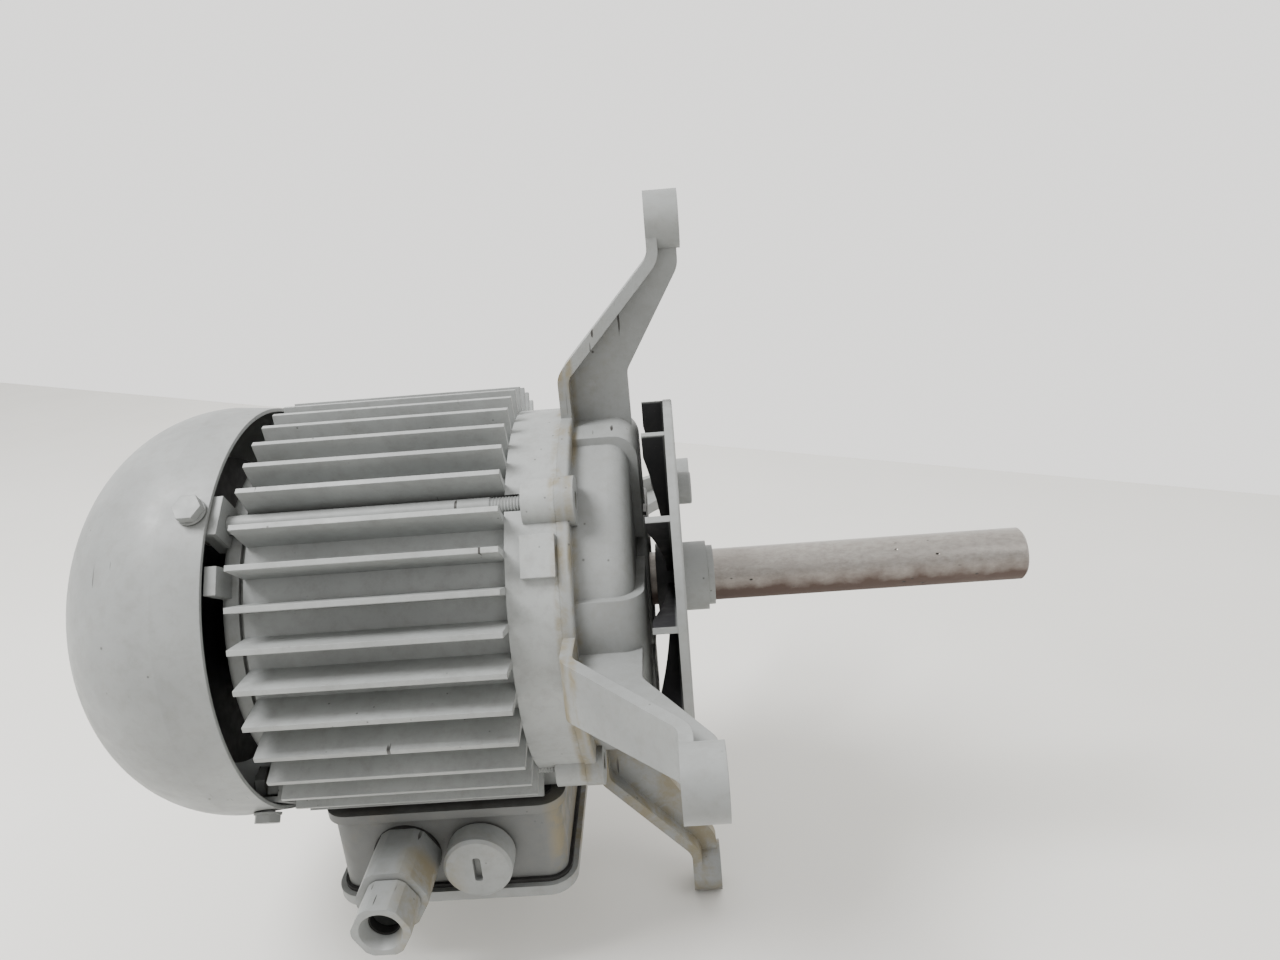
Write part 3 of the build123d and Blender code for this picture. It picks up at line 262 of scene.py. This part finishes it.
def cowl_finish():
    """Sheet paint with a few long dark scratches behind the rim, and painted shade in its hollows."""
    f = Finish("scratched_cowl_paint", roughness=0.45, specular=0.45)
    colour, chips = painted_colour(f, grime_and_shade_reach=0.010, grime_and_shade_share=0.6, stain_share=0.2)
    lines = f.cells(26.0, stretch=(1.0, 0.25, 1.7))
    wander = f.math("ADD", lines, f.math("MULTIPLY", f.noise(90.0, 4.0), 0.10))
    broken = f.ramp(f.noise(160.0, 3.0), 0.46, 0.52)
    mark = f.math("MULTIPLY", f.ramp(wander, 0.10, 0.115, 1.0, 0.0), broken)
    zone = band(f, f.axis(0), -206 * MM, -176 * MM, 8 * MM)
    mark = f.math("MULTIPLY", mark, f.math("MULTIPLY", zone, 0.8))
    # painted shade: the cowl's hollows darkened by ambient occlusion
    inside_painted_shade = f.ramp(f.crevice(0.018), 0.55, 0.85)
    f.colour(f.mix(f.math("MAXIMUM", mark, inside_painted_shade), colour, DARK_CHIP_AND_SHADE))
    f.roughness(f.ramp(f.noise(160.0, 4.0), 0.3, 0.7, 0.38, 0.55))
    deep = f.math("SUBTRACT", 1.0, f.math("MAXIMUM", chips, mark))
    f.bump([(f.noise(900.0, 2.0), 0.10, 0.12 * MM), (deep, 0.5, 0.1 * MM)])
    return f.material


def wheel_finish():
    """Black moulding, with grey overspray on its front plate and outer edges."""
    f = Finish("black_wheel_oversprayed", roughness=0.5, specular=0.45)
    grey, _ = painted_colour(f, grime_and_shade_reach=0.006, grime_and_shade_share=0.5, stain_share=0.4)
    speck = f.ramp(f.cells(520.0), 0.05, 0.16, 0.5, 0.0)
    dust = f.math("MULTIPLY", f.ramp(f.noise(60.0, 6.0, 0.7), 0.5, 0.8), 0.6)
    black = f.mix(f.math("MAXIMUM", dust, speck), BLACK_PLASTIC, BLACK_DUST)
    rim = f.ramp(f.radius(), 65.2 * MM, 65.9 * MM)
    plate = f.ramp(f.axis(0), -10.6 * MM, -9.6 * MM)
    spray = f.math("MAXIMUM", rim, plate)
    f.colour(f.mix(spray, black, grey))
    f.roughness(f.ramp(f.noise(140.0, 4.0), 0.3, 0.7, 0.40, 0.62))
    f.bump([(f.noise(500.0, 3.0), 0.2, 0.2 * MM)])
    return f.material


def shaft_finish():
    """Ground steel, stained brown in long streaks and pitted near the end, with a painted dark reflection
    on its lower side.
    """
    f = Finish("stained_shaft_steel_painted_shade", roughness=0.35, metallic=1.0)
    streak = f.noise(55.0, 8.0, 0.7, stretch=(0.22, 1.0, 1.0), distortion=0.8)
    fine = f.noise(700.0, 4.0, 0.7, stretch=(0.5, 1.0, 1.0))
    stain = f.ramp(f.math("ADD", streak, f.math("MULTIPLY", fine, 0.25)), 0.56, 0.80)
    # painted reflection: the lower side of the shaft is darker by height, and the top is lighter
    level = f.math("ADD", f.axis(2), f.math("MULTIPLY", f.noise(120.0, 5.0), 8 * MM))
    shade_side = f.ramp(level, 12 * MM, 1 * MM, 0.2, 1.0)
    near_hub = f.ramp(f.axis(0), 4 * MM, 40 * MM, 0.6, 0.0)
    stain_and_shade_weight = f.math("MAXIMUM", shade_side, near_hub)
    shade_patchiness = f.ramp(f.noise(30.0, 6.0, 0.7, stretch=(0.3, 1.0, 1.0)), 0.2, 0.5, 0.7, 1.0)
    # stain now holds the real streaks and the painted dark reflection of the lower side
    stain = f.math("MULTIPLY", f.math("MAXIMUM", stain, f.math("MULTIPLY", shade_side, shade_patchiness)), stain_and_shade_weight)
    colour = f.mix(f.ramp(fine, 0.3, 0.7), STEEL_DARK, STEEL)
    colour = f.mix(stain, colour, STEEL_STAIN_AND_SHADE)
    pit = f.ramp(f.cells(260.0, stretch=(0.6, 1.0, 1.0)), 0.07, 0.13, 1.0, 0.0)
    pit = f.math("MULTIPLY", pit, f.ramp(f.noise(40.0, 3.0), 0.52, 0.6))
    f.colour(f.mix(pit, colour, DARK_CHIP_AND_SHADE))
    f.link(f.ramp(stain, 0.0, 1.0, 1.0, 0.35), f.shader.inputs["Metallic"])
    f.roughness(f.ramp(stain, 0.0, 1.0, 0.28, 0.62))
    lathe_lines = f.noise(2600.0, 2.0, stretch=(1.0, 0.02, 0.02))
    f.bump([(lathe_lines, 0.12, 0.1 * MM), (f.math("SUBTRACT", 1.0, pit), 0.7, 0.3 * MM)])
    return f.material


def metal(name, base, dark, roughness, grain, corner_darkening=0.4):
    """Bare metal with a fine grain, darkened in its corners by dirt and painted shade."""
    f = Finish(name, roughness=roughness, metallic=1.0)
    colour = f.mix(f.ramp(f.noise(180.0, 6.0, 0.65), 0.3, 0.7), dark, base)
    # dirt and painted shade: corners darkened by ambient occlusion
    corner = f.math("MULTIPLY", f.ramp(f.crevice(0.004), 0.3, 0.9), corner_darkening)
    f.colour(f.mix(corner, colour, GRIME_AND_SHADE))
    f.roughness(f.ramp(f.noise(400.0, 4.0), 0.3, 0.7, roughness * 0.75, roughness * 1.35))
    f.bump([(f.noise(900.0, 3.0, stretch=grain), 0.2, 0.08 * MM)])
    return f.material


def laminations():
    """Sheet pack: half-millimetre sheets seen as fine lines across the shaft."""
    f = Finish("laminated_sheets", roughness=0.45, metallic=1.0)
    lines = f.noise(1400.0, 1.0, stretch=(1.0, 0.004, 0.004))
    tone = f.mix(f.ramp(lines, 0.35, 0.65), (0.10, 0.10, 0.11), (0.30, 0.30, 0.32))
    rust = f.ramp(f.noise(60.0, 6.0, 0.7), 0.6, 0.8, 0.0, 0.6)
    f.colour(f.mix(rust, tone, STEEL_STAIN_AND_SHADE))
    f.bump([(lines, 0.4, 0.15 * MM)])
    return f.material


def winding():
    """Varnished wire: fine strands that run round the coil ends."""
    f = Finish("varnished_winding", roughness=0.32, specular=0.6)
    strand = f.add("ShaderNodeTexWave", wave_type="RINGS", rings_direction="X")
    strand.inputs["Scale"].default_value = 260.0
    strand.inputs["Distortion"].default_value = 2.5
    strand.inputs["Detail"].default_value = 2.0
    f.link(f.place, strand.inputs["Vector"])
    lines = strand.outputs["Fac"]
    colour = f.mix(f.ramp(lines, 0.1, 0.9), VARNISH, COPPER)
    f.colour(f.mix(f.ramp(f.noise(40.0, 4.0), 0.45, 0.8, 0.0, 0.5), colour, GRIME_AND_SHADE))
    f.shader.inputs["Coat Weight"].default_value = 0.5
    f.bump([(lines, 0.6, 0.35 * MM)])
    return f.material


def moulded(name, base, dusty, roughness, speck=0.35):
    """Moulded plastic or rubber with a dull bloom, settled dust, and dirt and painted shade in its
    corners.
    """
    f = Finish(name, roughness=roughness, specular=0.4)
    bloom = f.ramp(f.noise(70.0, 6.0, 0.65), 0.4, 0.75, 0.0, speck)
    colour = f.mix(bloom, base, dusty)
    # dirt and painted shade: corners darkened by ambient occlusion
    corner = f.math("MULTIPLY", f.ramp(f.crevice(0.004), 0.4, 1.0), 0.5)
    f.colour(f.mix(corner, colour, GRIME_AND_SHADE))
    f.roughness(f.ramp(f.noise(300.0, 3.0), 0.3, 0.7, roughness * 0.85, min(1.0, roughness * 1.2)))
    f.bump([(f.noise(1100.0, 3.0), 0.18, 0.1 * MM)])
    return f.material


FINISHES = {
    "grey_paint": lambda: paint("cast_grey_paint", cast=True),
    "grey_paint_steel": lambda: paint("sheet_grey_paint", cast=False, stain_share=0.25),
    "worn_shaft_steel": shaft_finish,
    "zinc_steel": lambda: metal("zinc_steel", ZINC, (0.24, 0.23, 0.20), 0.38, (1, 1, 1)),
    "bearing_steel": lambda: metal("bearing_steel", (0.75, 0.75, 0.76), (0.5, 0.5, 0.5), 0.16, (1, 1, 1)),
    "lamination_steel": laminations,
    "cast_aluminium": lambda: metal("cast_aluminium", ALUMINIUM, (0.35, 0.35, 0.35), 0.45, (1, 1, 1)),
    "copper_winding": winding,
    "brass_parts": lambda: metal("brass_parts", BRASS, (0.35, 0.22, 0.08), 0.3, (1, 1, 1)),
    "wheel_plastic": wheel_finish,
    "fan_plastic": lambda: moulded("fan_plastic", BLACK_PLASTIC, BLACK_DUST, 0.5, 0.6),
    "board_plastic": lambda: moulded("board_plastic", BOARD, BLACK_DUST, 0.35),
    "gasket_rubber": lambda: moulded("gasket_rubber", RUBBER, BLACK_DUST, 0.75),
    "gland_plastic": lambda: paint(
        "gland_grey", cast=False, grime_and_shade_reach=0.004, grime_and_shade_share=0.6, stain_share=0.8, brightness_shift=0.95,
    ),
    "lead_insulation": lambda: moulded("lead_insulation", SLEEVE, (0.2, 0.08, 0.06), 0.5),
}

OWN_FINISHES = {
    # painted light: the grey paint brightened for the housing, for light falling between the fins
    "stator_frame": lambda: paint(
        "finned_housing_paint", cast=True, grime_and_shade_reach=0.004, grime_and_shade_share=0.35,
        stain_share=0.3, brightness_shift=1.22,
    ),
    # dirt and painted shade: the grey paint darkened to half, with wide corner darkening, for the shade
    # under the housing
    "terminal_box": lambda: paint(
        "box_paint_dirt_and_painted_shade", cast=True, grime_and_shade_reach=0.025, grime_and_shade_share=0.85,
        stain_share=0.8, brightness_shift=0.52,
    ),
    # painted shade: wide corner darkening for the shadowed recess between the shield and the wheel
    "drive_end_shield": lambda: paint(
        "shield_paint", cast=True, grime_and_shade_reach=0.022, grime_and_shade_share=0.85, stain_share=0.5, brightness_shift=0.95,
    ),
    "fan_cowl": cowl_finish,
    "tie_bolts": lambda: paint(
        "painted_bolts", cast=False, grime_and_shade_reach=0.003, grime_and_shade_share=0.8, stain_share=0.6, brightness_shift=1.1,
    ),
    "cowl_screws": lambda: paint(
        "painted_screws", cast=False, grime_and_shade_reach=0.002, grime_and_shade_share=0.6,
        stain_share=0.6, brightness_shift=0.95,
    ),
}


def dress_frame():
    """Give every CAD node the finish of its record slot."""
    slots = {part["node"]: part["material_slot"] for part in frame["record"]["subparts"]}
    made = {slot: build() for slot, build in FINISHES.items()}
    own = {name: build() for name, build in OWN_FINISHES.items()}
    for name, node in nodes.items():
        node.data.materials.clear()
        node.data.materials.append(own.get(name) or made[slots[name]])


# ---- studio -----------------------------------------------------------------
CAMERA_PLACE = (-0.0077, -0.3171, 0.1492)
CAMERA_YAW, CAMERA_PITCH, CAMERA_ROLL = radians(-2.2), radians(19.11), radians(-4.91)
CAMERA_SENSOR, CAMERA_LENS = 36.0, 26.16      # millimetres, as Blender has them
FLOOR_REACH = 2.5
FLOOR_FAR_MIDDLE, FLOOR_FAR_SLOPE = 0.625, -0.564
MOTOR_MIDDLE = (-0.05, 0, 0)


def camera():
    """The viewpoint: beside the motor, a little above, tilted a few degrees."""
    yaw, pitch, roll = CAMERA_YAW, CAMERA_PITCH, CAMERA_ROLL
    ahead = Vector((sin(yaw) * cos(pitch), cos(yaw) * cos(pitch), -sin(pitch)))
    level = Vector((cos(yaw), -sin(yaw), 0))
    lift = level.cross(ahead)
    right = level * cos(roll) + lift * sin(roll)
    up = lift * cos(roll) - level * sin(roll)
    data = bpy.data.cameras.new("camera")
    data.sensor_width = CAMERA_SENSOR
    data.lens = CAMERA_LENS
    data.clip_start = 0.01
    obj = bpy.data.objects.new("camera", data)
    turn = Matrix((right, up, -ahead)).transposed()
    obj.matrix_world = Matrix.Translation(CAMERA_PLACE) @ turn.to_4x4()
    bpy.context.scene.collection.objects.link(obj)
    bpy.context.scene.camera = obj


def area_light(name, place, target, size, power):
    data = bpy.data.lights.new(name, "AREA")
    data.shape = "DISK"
    data.size = size
    data.energy = power
    obj = bpy.data.objects.new(name, data)
    direction = Vector(target) - Vector(place)
    obj.rotation_euler = direction.to_track_quat("-Z", "Y").to_euler()
    obj.location = place
    bpy.context.scene.collection.objects.link(obj)


def floor():
    """A level floor whose far edge crosses behind the motor at an angle."""
    low, _ = cad_bounds
    mesh = bpy.data.meshes.new("floor")
    reach, far_middle, far_slope = FLOOR_REACH, FLOOR_FAR_MIDDLE, FLOOR_FAR_SLOPE
    corners = [
        (-reach, -reach, 0),
        (reach, -reach, 0),
        (reach, far_middle + far_slope * reach, 0),
        (-reach, far_middle - far_slope * reach, 0),
    ]
    mesh.from_pydata(corners, [], [(0, 1, 2, 3)])
    obj = bpy.data.objects.new("floor", mesh)
    obj.location.z = low[2]
    f = Finish("pale_floor", roughness=0.55, specular=0.3)
    f.colour(f.mix(f.ramp(f.noise(3.0, 5.0), 0.3, 0.7), (0.74, 0.73, 0.69), (0.80, 0.79, 0.76)))
    f.roughness(f.ramp(f.noise(20.0, 4.0), 0.3, 0.7, 0.5, 0.65))
    mesh.materials.append(f.material)
    bpy.context.scene.collection.objects.link(obj)


def studio():
    world = bpy.data.worlds.new("studio")
    bpy.context.scene.world = world
    world.use_nodes = True
    tree = world.node_tree
    background = tree.nodes["Background"]
    background.inputs["Color"].default_value = (1.0, 0.985, 0.96, 1)
    direction = tree.nodes.new("ShaderNodeTexCoord").outputs["Generated"]
    parts = tree.nodes.new("ShaderNodeSeparateXYZ")
    tree.links.new(direction, parts.inputs["Vector"])
    fall = tree.nodes.new("ShaderNodeMapRange")
    for socket, value in (("From Min", -1.0), ("From Max", 0.7), ("To Min", 0.8), ("To Max", 1.7)):
        fall.inputs[socket].default_value = value
    tree.links.new(parts.outputs["Y"], fall.inputs["Value"])
    tree.links.new(fall.outputs["Result"], background.inputs["Strength"])
    area_light("key", place=(-0.65, -0.25, 1.05), target=MOTOR_MIDDLE, size=0.55, power=24.0)
    area_light("fill", place=(0.9, -0.7, 0.9), target=MOTOR_MIDDLE, size=0.8, power=3.0)


dress_frame()
camera()
studio()
floor()
